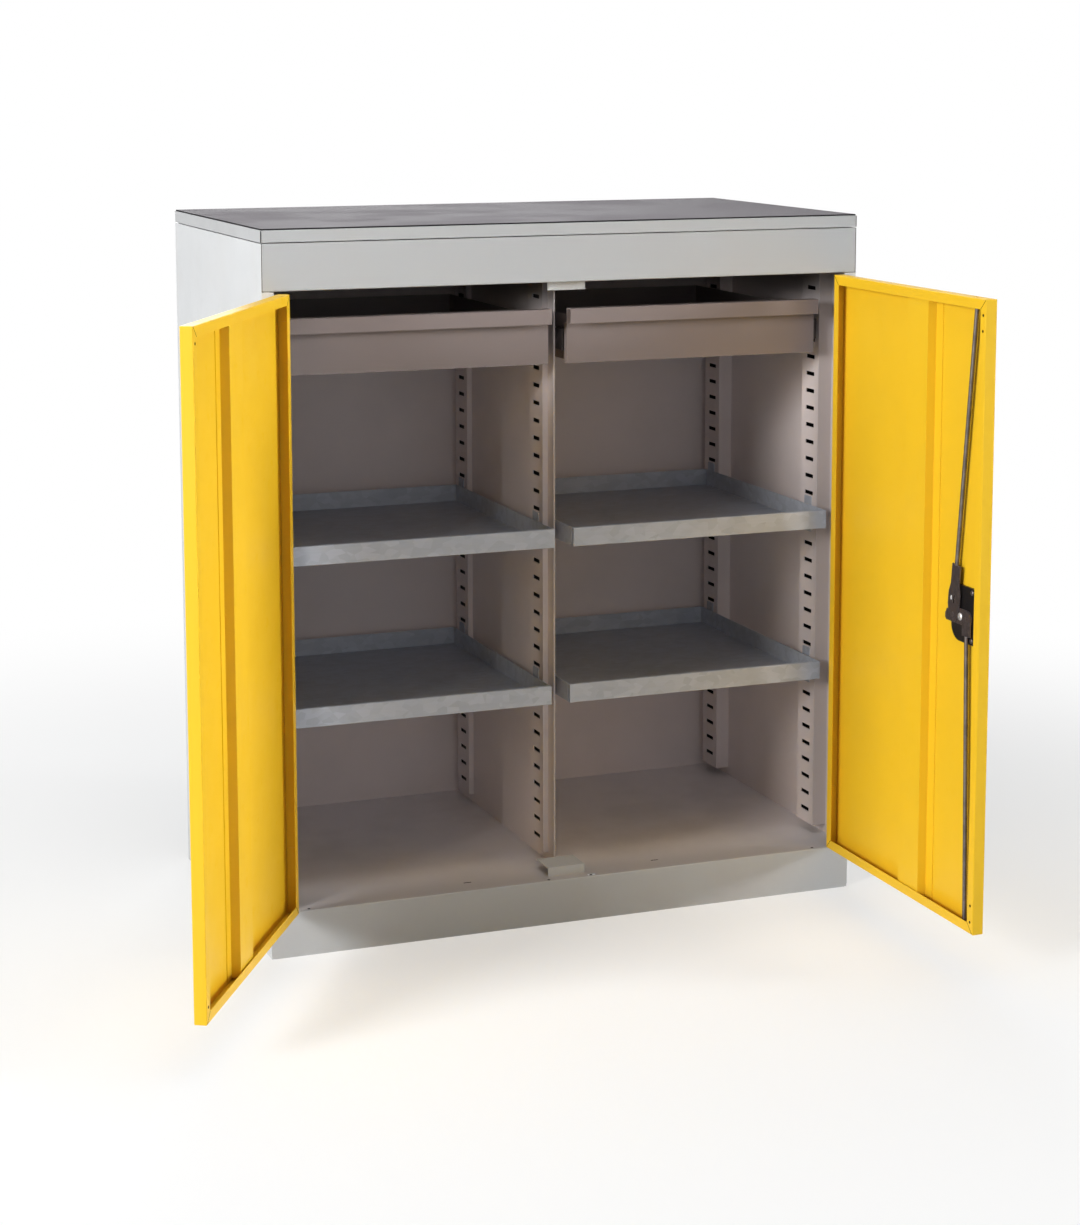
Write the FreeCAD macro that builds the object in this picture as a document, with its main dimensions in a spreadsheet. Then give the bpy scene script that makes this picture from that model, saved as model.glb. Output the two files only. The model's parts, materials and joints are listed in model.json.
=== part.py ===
import FreeCAD
import Part
import os
import re
import Sketcher

# Sheet-metal tool cabinet with two hinged doors, two drawers and four shelves.
# Millimetres. Origin on the floor under the middle of the carcass, X to the right,
# Y to the back, Z up. The doors stand open, as the object is shown.

SIZES = [
    ("cab_width", 900, "carcass width"),
    ("cab_depth", 500, "carcass depth"),
    ("carcass_height", 1000, "floor to the top of the carcass"),
    ("sheet", 1, "sheet of the carcass, doors, shelves and drawers"),
    ("heavy_sheet", 1.5, "sheet of brackets, clips, uprights and slides"),
    ("fold_radius", 1.5, "outer radius of a folded edge"),
    ("tight_fold", 0.8, "outer radius of a tight fold"),
    ("flange_width", 18, "front flange of a side panel"),
    ("flange_return", 20, "door rebate behind that flange"),
    ("back_flange", 15, "rear flange of a side panel"),
    ("plinth_height", 65, "floor level, and height of the plinth"),
    ("plinth_corner", 6, "rounded lower corners of the plinth"),
    ("frame_plate", 30, "width of the base frame's foot"),
    ("frame_sheet", 2, "thickness of the base frame"),
    ("floor_slot_reach", 147.5, "middle of the floor to one of its slots"),
    ("floor_slot_back", 37, "front plane to the slots in the floor"),
    ("floor_slot_length", 12, "slot in the floor"),
    ("floor_slot_width", 3, "slot in the floor"),
    ("fascia_height", 65, "front panel above the doors"),
    ("fascia_flange", 40, "lower flange of the fascia"),
    ("top_flange", 20, "front flange of the top panel"),
    ("seam", 0.6, "visible seam between two panels"),
    ("lid_gap", 1.5, "shadow gap under the worktop lid"),
    ("lid_height", 16.5, "worktop lid"),
    ("lid_return", 12, "lower return of the lid's skirt"),
    ("lid_slit", 2, "open corner of the lid's skirt"),
    ("lid_fold", 0.5, "outer radius of the lid's upper edge"),
    ("mat_inset", 1.5, "mat edge to lid edge"),
    ("mat_thick", 2, "rubber mat"),
    ("pad_inset", 2, "inner edge of the lid's return to a spacer pad"),
    ("pad_width", 9, "spacer pad under the lid"),
    ("pad_length", 60, "spacer pad under the lid"),
    ("pad_reach", 150, "middle of the carcass to the middle of a pad"),
    ("divider_front", 67, "front plane to the divider"),
    ("hem_depth", 9, "hem on the divider's front edge"),
    ("hem_thick", 3, "hem on the divider's front edge"),
    ("hem_round", 1.2, "rounding of the hem"),
    ("stop_width", 57, "door stop bracket"),
    ("stop_front", 20, "front plane to a door stop"),
    ("stop_height", 13, "door stop bracket"),
    ("side_standoff", 22, "side panel to the slotted face of its uprights"),
    ("divider_standoff", 8, "divider to the slotted face of its uprights"),
    ("upright_width", 54, "upright, front to back"),
    ("upright_foot", 13, "cabinet floor to the lower end of the uprights"),
    ("upright_end", 15, "upper end of the uprights to the top of the carcass"),
    ("side_upright", 98, "front plane to the slots of the side uprights"),
    ("divider_upright", 119, "front plane to the slots of the divider uprights"),
    ("rear_upright", 449, "front plane to the slots of the rear uprights"),
    ("slot_width", 27, "slot, front to back"),
    ("slot_height", 6, "slot"),
    ("slot_first", 21, "lower end of an upright to its lowest slot"),
    ("slot_pitch", 26, "slot to slot"),
    ("slot_last", 75, "highest slot to the upper end of an upright, at least"),
    ("shelf_gap", 6, "upright to the end of a shelf"),
    ("shelf_depth", 430, "shelf, front to back"),
    ("shelf_lip", 27, "upturned lip of a shelf"),
    ("shelf_hem", 7, "hem along the top of a shelf's front lip"),
    ("shelf_slit", 2, "open corner of a shelf's lips"),
    ("upper_shelf_step", 17, "slots under the one that carries the upper shelves"),
    ("lower_shelf_step", 8, "slots under the one that carries the lower shelves"),
    ("upper_shelf_front", 28, "front plane to the upper shelves"),
    ("lower_shelf_front", 42, "front plane to the lower shelves"),
    ("clip_lift", 9, "slot to the shelf on its clip"),
    ("clip_width", 22, "shelf clip"),
    ("clip_rise", 38, "shelf to the top of a clip"),
    ("clip_drop", 16, "shelf to the bottom of a clip"),
    ("clip_ledge", 12, "ledge under the shelf"),
    ("hook_reach", 5, "hook behind the slotted face"),
    ("hook_height", 4, "hook in the slot"),
    ("door_depth", 17, "door pan, front to back"),
    ("door_gap", 2.5, "door to the plinth and to the fascia"),
    ("centre_gap", 2, "door to door"),
    ("door_lip", 14, "return lip around a door"),
    ("hinge_inset", 0.5, "flange edge to the hinge axis"),
    ("hinge_proud", 4.5, "front plane to the hinge axis"),
    ("hinge_gap", 1.5, "hinge axis to the door's edge"),
    ("hinge_radius", 4, "knuckle"),
    ("hinge_half", 30, "length of one knuckle"),
    ("hinge_split", 0.5, "between the two knuckles"),
    ("hinge_leaf", 15, "width of a leaf"),
    ("leaf_thick", 2, "thickness of a leaf"),
    ("pin_radius", 2.5, "hinge pin"),
    ("pin_play", 0.05, "running clearance of a pin"),
    ("pin_reach", 27, "length of the pin in the upper knuckle"),
    ("hinge_end", 85.5, "end of the door to the middle of a hinge"),
    ("left_open", 121, "angle of the open left door"),
    ("right_open", 90, "angle of the open right door"),
    ("stiff_centre", 185, "free edge to the middle of a stiffener"),
    ("stiff_crest", 28, "half the crest of a stiffener"),
    ("stiff_foot", 30, "half the hollow of a stiffener"),
    ("stiff_half", 48, "half the width of a stiffener"),
    ("stiff_depth", 13, "depth of a stiffener"),
    ("stiff_end", 5, "door edge to the end of a stiffener"),
    ("lock_edge", 66, "free edge to the lock axis"),
    ("lock_height", 495, "height of the lock axis"),
    ("housing_edge", 34, "free edge to the lock housing"),
    ("housing_width", 60, "lock housing"),
    ("housing_up", 43, "lock axis to the upper end of the lock housing"),
    ("housing_down", 35, "lock axis to the lower end of the lock housing"),
    ("housing_base", 3.7, "thickness of the lock housing"),
    ("housing_curve", 22, "large rounded corners of the housing"),
    ("spindle_side", 8, "square spindle"),
    ("spindle_bore", 6.3, "radius of the holes around the spindle"),
    ("turn_play", 0.3, "clearance around turning pieces"),
    ("plate_half_width", 18, "outer handle plate"),
    ("plate_half_height", 60, "outer handle plate"),
    ("plate_thick", 3, "outer handle plate"),
    ("plate_corner", 6, "rounded corners of the handle plate"),
    ("hub_radius", 9.5, "handle hub"),
    ("hub_length", 9, "handle hub"),
    ("lever_thick", 8, "handle lever"),
    ("lever_width", 20, "handle lever at the hub"),
    ("lever_tip_width", 13, "handle lever at its tip"),
    ("lever_over", 13, "lock axis to the upper end of the lever"),
    ("lever_length", 82, "handle lever"),
    ("lever_round", 6, "length over which the ends of the lever narrow"),
    ("lever_tip_end", 8, "width of the lever's lower end"),
    ("lever_top_end", 12, "width of the lever's upper end"),
    ("key_radius", 5.5, "key barrel"),
    ("key_length", 3, "key barrel"),
    ("cam_gap", 0.9, "lock housing to the cam plate"),
    ("cam_throw", 18, "lock axis to a cam pin"),
    ("cam_half", 11, "half the width of the cam plate"),
    ("link_gap", 0.2, "cam plate to a link"),
    ("cam_pin_radius", 3, "cam pin"),
    ("cam_pin_proud", 0.9, "cam pin beyond the link"),
    ("link_eye", 11, "half the width of a link at its pin"),
    ("link_half", 11, "half the width of a link strip"),
    ("link_flare", 15, "half the width of the upper link at its flare"),
    ("link_shoulder", 30, "pin to the upper end of the flare"),
    ("link_taper", 12, "length over which the flare widens or narrows"),
    ("upper_link_length", 70, "pin to the top of the upper link"),
    ("lower_link_length", 24, "pin to the bottom of the lower link"),
    ("link_slot", 3, "slot in the upper link"),
    ("link_slot_low", 15, "pin to the lower end of that slot"),
    ("link_slot_high", 27, "pin to the upper end of that slot"),
    ("rod_radius", 3, "lock rod"),
    ("rod_edge", 36, "free edge to a rod at the end of the door"),
    ("rod_short", 1.5, "retracted rod to the end of the door"),
    ("rod_room", 0.8, "clearance of a rod in its slot"),
    ("rod_sway", 5, "sideways travel of a rod in its slot"),
    ("door_pass", 2, "drawer to the open door"),
    ("drawer_front_at", 54, "front plane to the drawer fronts"),
    ("drawer_drop", 42, "fascia to the drawer fronts"),
    ("drawer_height", 80, "height of the drawer fronts"),
    ("grip_reach", 15, "drawer front to the face of its grip"),
    ("grip_height", 22, "face of the grip"),
    ("grip_return", 6, "lower return of the grip"),
    ("front_return", 11, "side return of a drawer front"),
    ("box_inset", 9.5, "end of the drawer front to the drawer box"),
    ("box_lift", 2, "lower edge of the front to the box"),
    ("box_height", 66, "height of the drawer box"),
    ("box_depth", 400, "drawer box, front to back"),
    ("rail_lift", 32, "lower edge of the drawer fronts to the middle of the slides"),
    ("rail_half", 15, "half the height of a fixed rail"),
    ("rail_reach", 10.3, "drawer box to the back of a fixed rail"),
    ("rail_play", 0.3, "play between the two rails"),
    ("rail_side", 0.8, "sideways play between the two rails"),
    ("rail_front", 72, "front plane to the fixed rails"),
    ("rail_length", 398, "fixed rail"),
    ("runner_length", 380, "moving rail"),
    ("foot_length", 38, "foot of a fixed rail on an upright"),
]
NAMES = {alias for alias, value, note in SIZES}

os.makedirs("parts", exist_ok=True)
doc = FreeCAD.newDocument("ToolCabinet")
sizes = doc.addObject("Spreadsheet::Sheet", "Sizes")
for row, (alias, value, note) in enumerate(SIZES, 1):
    sizes.set(f"A{row}", note)
    sizes.set(f"B{row}", str(value))
    sizes.setAlias(f"B{row}", alias)
doc.recompute()

HALF = "(cab_width / 2)"
INNER = "(cab_width / 2 - sheet)"
FRONT = "(-cab_depth / 2)"
BACK = "(cab_depth / 2)"
LINTEL = "(carcass_height - fascia_height)"
HINGE_X = "(cab_width / 2 - flange_width + hinge_inset)"
HINGE_Y = f"({FRONT} - hinge_proud)"
nodes = []


def ex(text):
    """An expression on the sheet's cells."""
    return re.sub(
        r"[a-z][a-z_0-9]*",
        lambda hit: "Sizes." + hit.group(0) if hit.group(0) in NAMES else hit.group(0),
        str(text),
    )


def number(text):
    """What an expression is worth now."""
    return float(sizes.evalExpression(ex(text)))


def bind(thing, prop, text):
    thing.setExpression(prop, ex(text))


def locate(thing, x, y, z):
    for axis, text in zip("xyz", (x, y, z)):
        bind(thing, "Placement.Base." + axis, text)


def node(thing, label):
    thing.Label = label
    nodes.append(thing)
    return thing


# Spans are pairs of expressions, low and high.
def side(way, low, high):
    """The span low to high on the right (way 1), or its mirror image on the left."""
    return (low, high) if way > 0 else (f"-({high})", f"-({low})")


def middle(half):
    return (f"-({half})", half)


def about(centre, half):
    return (f"{centre} - {half}", f"{centre} + {half}")


def at(back):
    """A place measured back from the front plane."""
    return f"({FRONT} + {back})"


def behind(low, high):
    return (at(low), at(high))


# Solids
def size_block(made, xs, ys, zs):
    for prop, (low, high) in zip(("Length", "Width", "Height"), (xs, ys, zs)):
        bind(made, prop, f"({high}) - ({low})")
    locate(made, xs[0], ys[0], zs[0])
    return made


def body(label):
    return node(doc.addObject("PartDesign::Body", label), label)


def loose_body():
    """A body that becomes one of several solids in a node."""
    return doc.addObject("PartDesign::Body", "Piece")


def add(owner, xs, ys, zs):
    return size_block(owner.newObject("PartDesign::AdditiveBox", "Block"), xs, ys, zs)


def take(owner, xs, ys, zs):
    return size_block(owner.newObject("PartDesign::SubtractiveBox", "Gap"), xs, ys, zs)


def round_up(made, radius, length, x, y, z):
    """Sizes a cylinder that stands up from its point."""
    bind(made, "Radius", radius)
    bind(made, "Height", length)
    locate(made, x, y, z)
    return made


def round_back(made, radius, span, x, z):
    """Sizes a cylinder that runs to the back over a span."""
    made.Placement = FreeCAD.Placement(
        FreeCAD.Vector(), FreeCAD.Rotation(FreeCAD.Vector(1, 0, 0), -90)
    )
    return round_up(made, radius, f"({span[1]}) - ({span[0]})", x, span[0], z)


def add_round(owner, radius, span, x, z):
    return round_back(owner.newObject("PartDesign::AdditiveCylinder", "Boss"), radius, span, x, z)


def take_round(owner, radius, span, x, z):
    return round_back(owner.newObject("PartDesign::SubtractiveCylinder", "Bore"), radius, span, x, z)


def add_post(owner, radius, span):
    """An upright cylinder on the body's own axis."""
    made = owner.newObject("PartDesign::AdditiveCylinder", "Post")
    return round_up(made, radius, f"({span[1]}) - ({span[0]})", "0", "0", span[0])


def take_post(owner, radius, span):
    made = owner.newObject("PartDesign::SubtractiveCylinder", "Bore")
    return round_up(made, radius, f"({span[1]}) - ({span[0]})", "0", "0", span[0])


def group(label, parts):
    made = doc.addObject("Part::Compound", label)
    made.Links = parts
    return node(made, label)


def origin_of(owner, role):
    return next(part for part in owner.Origin.OriginFeatures if part.Role == role)


def fold(owner, picks, radius="fold_radius"):
    """Rounds the edges that run through the picked points."""
    doc.recompute()
    last = owner.Tip
    points = [Part.Vertex(*[number(text) for text in pick]) for pick in picks]
    names = [
        f"Edge{count}"
        for count, edge in enumerate(last.Shape.Edges, 1)
        if any(edge.distToShape(point)[0] < 0.01 for point in points)
    ]
    made = owner.newObject("PartDesign::Fillet", "Fold")
    made.Base = (last, names)
    bind(made, "Radius", radius)
    return made


def shell(owner, pick, wall):
    """Hollows the last solid, open at the face through the picked point."""
    doc.recompute()
    last = owner.Tip
    point = Part.Vertex(*[number(text) for text in pick])
    opened = next(
        f"Face{count}"
        for count, face in enumerate(last.Shape.Faces, 1)
        if face.distToShape(point)[0] < 0.01
    )
    made = owner.newObject("PartDesign::Thickness", "Shell")
    made.Base = (last, [opened])
    bind(made, "Value", wall)
    made.Reversed = True
    made.Join = "Intersection"
    return made


def outline(owner, plane, offset, points):
    """A closed sketch on one of the body's planes, each point bound to a pair of expressions."""
    sketch = owner.newObject("Sketcher::SketchObject", "Outline")
    sketch.AttachmentSupport = [(origin_of(owner, plane), "")]
    sketch.MapMode = "FlatFace"
    bind(sketch, "AttachmentOffset.Base.z", offset)
    spots = [FreeCAD.Vector(number(across), number(up), 0) for across, up in points]
    count = len(spots)
    for i in range(count):
        sketch.addGeometry(Part.LineSegment(spots[i], spots[(i + 1) % count]), False)
    for i in range(count):
        sketch.addConstraint(Sketcher.Constraint("Coincident", i, 2, (i + 1) % count, 1))
    for i, (across, up) in enumerate(points):
        for kind, text, now in (("DistanceX", across, spots[i].x), ("DistanceY", up, spots[i].y)):
            index = sketch.addConstraint(Sketcher.Constraint(kind, i, 1, now))
            bind(sketch, f"Constraints[{index}]", text)
    sketch.Visibility = False
    return sketch


def profile(owner, plane, points, span):
    """A section drawn on a plane and drawn out over a span along the third axis."""
    low, high = span
    start = f"-({high})" if plane == "XZ_Plane" else low
    pad = owner.newObject("PartDesign::Pad", "Section")
    pad.Profile = outline(owner, plane, start, points)
    bind(pad, "Length", f"({high}) - ({low})")
    return pad


def folded(owner, plane, path, wall, span):
    """A folded sheet: the line of one face, square at each fold, with the wall on its left."""
    spots = [FreeCAD.Vector(number(across), number(up), 0) for across, up in path]
    lefts = []
    for a, b in zip(spots, spots[1:]):
        run = (b - a).normalize()
        lefts.append((round(-run.y), round(run.x)))
    inner = []
    for i, (across, up) in enumerate(path):
        sides = {lefts[max(i - 1, 0)], lefts[min(i, len(lefts) - 1)]}
        move = [sum(part) for part in zip(*sides)]
        inner.append((f"{across} + {move[0]} * {wall}", f"{up} + {move[1]} * {wall}"))
    return profile(owner, plane, list(path) + inner[::-1], span)


def repeat_up(owner, cut, pitch, count):
    doc.recompute()
    made = owner.newObject("PartDesign::LinearPattern", "Row")
    made.Originals = [cut]
    made.Direction = (origin_of(owner, "Z_Axis"), [""])
    bind(made, "Length", f"{pitch} * ({count} - 1)")
    bind(made, "Occurrences", count)
    owner.Tip = made
    return made


# Carcass
def mirror(way, points):
    """Points drawn for the right side, or mirrored in the same turning sense for the left."""
    return points if way > 0 else [(f"-({x})", y) for x, y in points[::-1]]


def side_panel(label, way):
    """Wall, front flange, door rebate and rear flange, folded from one sheet."""
    made = body(label)
    inner_edge = "cab_width / 2 - flange_width"
    wall = [
        (inner_edge, at("flange_return")), (inner_edge, FRONT), (HALF, FRONT), (HALF, BACK),
        (f"{HALF} - back_flange", BACK),
    ]
    folded(made, "XY_Plane", mirror(way, wall), "sheet", ("0", "carcass_height"))
    take(made, side(way, inner_edge, HALF), behind("0", "sheet"), ("0", "plinth_height + seam"))
    for zs in (("0", "plinth_height + seam"), (f"{LINTEL} - seam", "carcass_height")):
        take(made, side(way, inner_edge, INNER), behind("0", "flange_return"), zs)
    x = f"{way} * {HALF}"
    fold(made, [(x, FRONT, "lock_height"), (x, BACK, "lock_height"),
                (f"{way} * ({inner_edge})", FRONT, "lock_height")])


side_panel("left_side_panel", -1)
side_panel("right_side_panel", 1)

base = body("base_frame")
frame_y = (at("sheet"), f"({BACK} - 2 * sheet)")
frame_top = "(plinth_height - sheet)"
add(base, middle(INNER), frame_y, ("0", frame_top))
shell(base, ("0", "0", frame_top), "frame_sheet")
take(base, middle(f"{INNER} - frame_plate"),
     (f"{frame_y[0]} + frame_plate", f"{frame_y[1]} - frame_plate"), ("0", "frame_sheet"))

# Depths in a closed door, back from the hinge axis: skin, lock housing, cam plate, links and rods
SKIN = "hinge_proud"
WITHIN = "(hinge_proud + sheet)"
HOUSING = (WITHIN, f"({WITHIN} + housing_base)")
CAM = (f"({HOUSING[1]} + cam_gap)", f"({HOUSING[1]} + cam_gap + heavy_sheet)")
LINK = (f"({CAM[1]} + link_gap)", f"({CAM[1]} + link_gap + heavy_sheet)")
ROD = f"({LINK[0]} + heavy_sheet / 2)"

# Where a lock rod meets the closed cabinet
rod_x = "(centre_gap / 2 + rod_edge)"
rod_hole = "(rod_radius + rod_room)"
keeper_y = about(f"{HINGE_Y} + {ROD}", rod_hole)

floor = body("floor_pan")
floor_z = (frame_top, "plinth_height")
folded(floor, "YZ_Plane", [(frame_y[1], "plinth_height"), (FRONT, "plinth_height"), (FRONT, "0")],
       "sheet", middle(HALF))
for way in (-1, 1):
    take(floor, side(way, INNER, HALF), (at("sheet"), frame_y[1]), floor_z)
    take(floor, about(f"{way} * floor_slot_reach", "floor_slot_length / 2"),
         about(at("floor_slot_back"), "floor_slot_width / 2"), floor_z)
take(floor, (f"{rod_x} - {rod_hole} - rod_sway", f"{rod_x} + {rod_hole}"), keeper_y, floor_z)
fold(floor, [("0", FRONT, "plinth_height")])
fold(floor, [(f"{way} * {HALF}", at("sheet / 2"), "0") for way in (-1, 1)], "plinth_corner")

back = body("back_panel")
add(back, middle(INNER), (f"{BACK} - 2 * sheet", f"{BACK} - sheet"), ("0", "carcass_height - sheet"))

top = body("top_panel")
folded(top, "YZ_Plane",
       [(f"{BACK} - sheet", "carcass_height"), (at("sheet"), "carcass_height"),
        (at("sheet"), "carcass_height - top_flange")],
       "sheet", middle(INNER))

fascia = body("fascia")
folded(fascia, "YZ_Plane",
       [(FRONT, "carcass_height"), (FRONT, LINTEL), (at("fascia_flange"), LINTEL)],
       "sheet", middle(f"({INNER} - seam)"))
take(fascia, (f"{rod_x} - {rod_hole}", f"{rod_x} + {rod_hole} + rod_sway"), keeper_y,
     (LINTEL, f"{LINTEL} + sheet"))
fold(fascia, [("0", FRONT, LINTEL)])

divider = body("divider_panel")
divider_z = ("plinth_height", "carcass_height - sheet")
add(divider, middle("sheet / 2"), (at("divider_front"), f"{BACK} - 2 * sheet"), divider_z)
add(divider, middle("hem_thick / 2"), behind("divider_front", "divider_front + hem_depth"), divider_z)
fold(divider, [(f"{way} * hem_thick / 2", at("divider_front"), "lock_height") for way in (-1, 1)],
     "hem_round")

upper_stop = body("upper_stop_bracket")
stop_x = middle("stop_width / 2")
folded(upper_stop, "YZ_Plane",
       [(at("fascia_flange"), LINTEL), (at("stop_front"), LINTEL),
        (at("stop_front"), f"{LINTEL} - stop_height")],
       "heavy_sheet", stop_x)

lower_stop = body("lower_stop_bracket")
stop_top = "plinth_height + stop_height"
folded(lower_stop, "YZ_Plane",
       [(at("divider_front"), stop_top), (at("stop_front"), stop_top), (at("stop_front"), "plinth_height")],
       "heavy_sheet", stop_x)

# Worktop: spacer pads, lid with down-turned skirt, mat
lid_low = "(carcass_height + lid_gap)"
lid_top = "(carcass_height + lid_gap + lid_height)"
pad_x = f"({INNER} - lid_return + pad_inset)"
pads = []
for way in (-1, 1):
    for end in (-1, 1):
        pad = doc.addObject("Part::Box", "Pad")
        size_block(pad, side(way, pad_x, f"{pad_x} + pad_width"),
                   about(f"{end} * pad_reach", "pad_length / 2"), ("carcass_height", lid_low))
        pads.append(pad)
group("worktop_pads", pads)

lid = body("worktop_lid")
add(lid, middle(HALF), (FRONT, BACK), (lid_low, lid_top))
take(lid, middle(INNER), behind("sheet", "cab_depth - sheet"), (f"{lid_low} + sheet", f"{lid_top} - sheet"))
take(lid, middle(f"{INNER} - lid_return"), behind("sheet + lid_return", "cab_depth - sheet - lid_return"),
     (lid_low, f"{lid_low} + sheet"))
for way in (-1, 1):
    for ys in (behind("0", "lid_slit"), behind("cab_depth - lid_slit", "cab_depth")):
        take(lid, side(way, f"{HALF} - lid_slit", HALF), ys, (lid_low, f"{lid_top} - sheet"))
fold(lid, [("0", FRONT, lid_top), ("0", BACK, lid_top), (HALF, "0", lid_top), (f"-{HALF}", "0", lid_top)],
     "lid_fold")

mat = body("rubber_mat")
add(mat, middle(f"{HALF} - mat_inset"), behind("mat_inset", "cab_depth - mat_inset"),
    (lid_top, f"{lid_top} + mat_thick"))

# Slotted uprights: channels that stand off the side panels and the divider
UPRIGHT = ("(plinth_height + upright_foot)", "(carcass_height - upright_end)")
SLOT_LOW = f"({UPRIGHT[0]} + slot_first)"
SLOTS = f"(floor(({UPRIGHT[1]} - {SLOT_LOW} - slot_last) / slot_pitch) + 1)"
SIDE_FACE = "(cab_width / 2 - sheet - side_standoff)"
DIVIDER_FACE = "(sheet / 2 + divider_standoff)"


def upright(label, way, wall, face, place):
    """A channel with its legs on a wall and a row of slots in its face."""
    made = body(label)
    front, rear = behind(f"{place} - upright_width / 2", f"{place} + upright_width / 2")
    path = [(wall, rear), (face, rear), (face, front), (wall, front)]
    inward = number(face) < number(wall)
    path = path if inward else path[::-1]
    folded(made, "XY_Plane", mirror(way, path), "heavy_sheet", UPRIGHT)
    skin = (face, f"{face} + heavy_sheet") if inward else (f"{face} - heavy_sheet", face)
    slot = take(made, side(way, *skin), about(at(place), "slot_width / 2"),
                about(SLOT_LOW, "slot_height / 2"))
    repeat_up(made, slot, "slot_pitch", SLOTS)


for way, word in ((-1, "left"), (1, "right")):
    upright(f"{word}_side_front_upright", way, INNER, SIDE_FACE, "side_upright")
    upright(f"{word}_side_rear_upright", way, INNER, SIDE_FACE, "rear_upright")
    upright(f"{word}_divider_front_upright", way, "sheet / 2", DIVIDER_FACE, "divider_upright")
    upright(f"{word}_divider_rear_upright", way, "sheet / 2", DIVIDER_FACE, "rear_upright")

# Shelves on clips that hook into the slots
SHELF_IN = f"({DIVIDER_FACE} + shelf_gap)"
SHELF_OUT = f"({SIDE_FACE} - shelf_gap)"


def clip(way, step, face, place, inward):
    """One clip: plate on the slotted face, hook in the slot, ledge under the shelf."""
    made = loose_body()
    hole = f"({SLOT_LOW} + slot_pitch * {step})"
    rest = f"({hole} + clip_lift)"
    away = -way if inward else way
    near = f"{way} * {face}"
    plate = f"{near} + {away} * heavy_sheet"
    ledge = f"{near} + {away} * clip_ledge"
    hook = f"{near} - {away} * hook_reach"
    section = [
        (near, f"{rest} - clip_drop"), (plate, f"{rest} - clip_drop"),
        (plate, f"{rest} - heavy_sheet"), (ledge, f"{rest} - heavy_sheet"), (ledge, rest), (plate, rest),
        (plate, f"{rest} + clip_rise"), (near, f"{rest} + clip_rise"),
        (near, f"{hole} + hook_height / 2"), (hook, f"{hole} + hook_height / 2"),
        (hook, f"{hole} - hook_height / 2"), (near, f"{hole} - hook_height / 2"),
    ]
    profile(made, "XZ_Plane", section, about(at(place), "clip_width / 2"))
    return made


def shelf(label, way, step, front):
    """A tray: floor, rear lip and hemmed front lip in one section, then the two end lips."""
    made = body(label)
    low = f"({SLOT_LOW} + slot_pitch * {step} + clip_lift)"
    high = f"({low} + shelf_lip)"
    near = at(front)
    rear = at(f"({front} + shelf_depth)")
    folded(made, "YZ_Plane",
           [(f"{near} + shelf_hem", high), (near, high), (near, low), (rear, low), (rear, high)],
           "sheet", side(way, SHELF_IN, SHELF_OUT))
    lips = (f"{near} + shelf_hem + shelf_slit", f"{rear} - sheet - shelf_slit")
    add(made, side(way, SHELF_IN, f"{SHELF_IN} + sheet"), lips, (low, high))
    add(made, side(way, f"{SHELF_OUT} - sheet", SHELF_OUT), lips, (low, high))
    x = f"{way} * ({SHELF_IN} + {SHELF_OUT}) / 2"
    fold(made, [(x, near, low), (x, near, high)], "tight_fold")


clips = []
for way, word in ((-1, "left"), (1, "right")):
    for level in ("upper", "lower"):
        step = f"{level}_shelf_step"
        shelf(f"{word}_{level}_shelf", way, step, f"{level}_shelf_front")
        clips.append(clip(way, step, SIDE_FACE, "side_upright", True))
        clips.append(clip(way, step, SIDE_FACE, "rear_upright", True))
        clips.append(clip(way, step, DIVIDER_FACE, "divider_upright", False))
        clips.append(clip(way, step, DIVIDER_FACE, "rear_upright", False))
group("shelf_clips", clips)

# Drawers with a grip along the top, on nested rails. They pass a door that stands at a right angle.
DRAWER_IN = SHELF_IN
DRAWER_OUT = f"({HINGE_X} - hinge_proud - door_depth - door_pass)"
BOX_IN = f"({DRAWER_IN} + box_inset)"
BOX_OUT = f"({DRAWER_OUT} - box_inset)"
DRAWER_TOP = f"({LINTEL} - drawer_drop)"
DRAWER_LOW = f"({DRAWER_TOP} - drawer_height)"
RAIL_Z = f"({DRAWER_LOW} + rail_lift)"


def drawer(word, way):
    tray = body(f"{word}_drawer_box")
    ys = behind("drawer_front_at + sheet", "drawer_front_at + sheet + box_depth")
    zs = (f"{DRAWER_LOW} + box_lift", f"{DRAWER_LOW} + box_lift + box_height")
    add(tray, side(way, BOX_IN, BOX_OUT), ys, zs)
    x = f"{way} * ({DRAWER_IN} + {DRAWER_OUT}) / 2"
    shell(tray, (x, "0", zs[1]), "sheet")
    face = body(f"{word}_drawer_front")
    grip = at("drawer_front_at - grip_reach")
    grip_low = f"({DRAWER_TOP} - grip_height)"
    panel = at("drawer_front_at + sheet")
    folded(face, "YZ_Plane",
           [(panel, DRAWER_LOW), (panel, DRAWER_TOP), (grip, DRAWER_TOP), (grip, grip_low),
            (f"{grip} + grip_return", grip_low)],
           "sheet", side(way, DRAWER_IN, DRAWER_OUT))
    for ends in ((DRAWER_IN, f"{DRAWER_IN} + sheet"), (f"{DRAWER_OUT} - sheet", DRAWER_OUT)):
        add(face, side(way, *ends), behind("drawer_front_at", "drawer_front_at + front_return"),
            (DRAWER_LOW, grip_low))
    fold(face, [(x, grip, DRAWER_TOP), (x, grip, grip_low)], "tight_fold")


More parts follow.
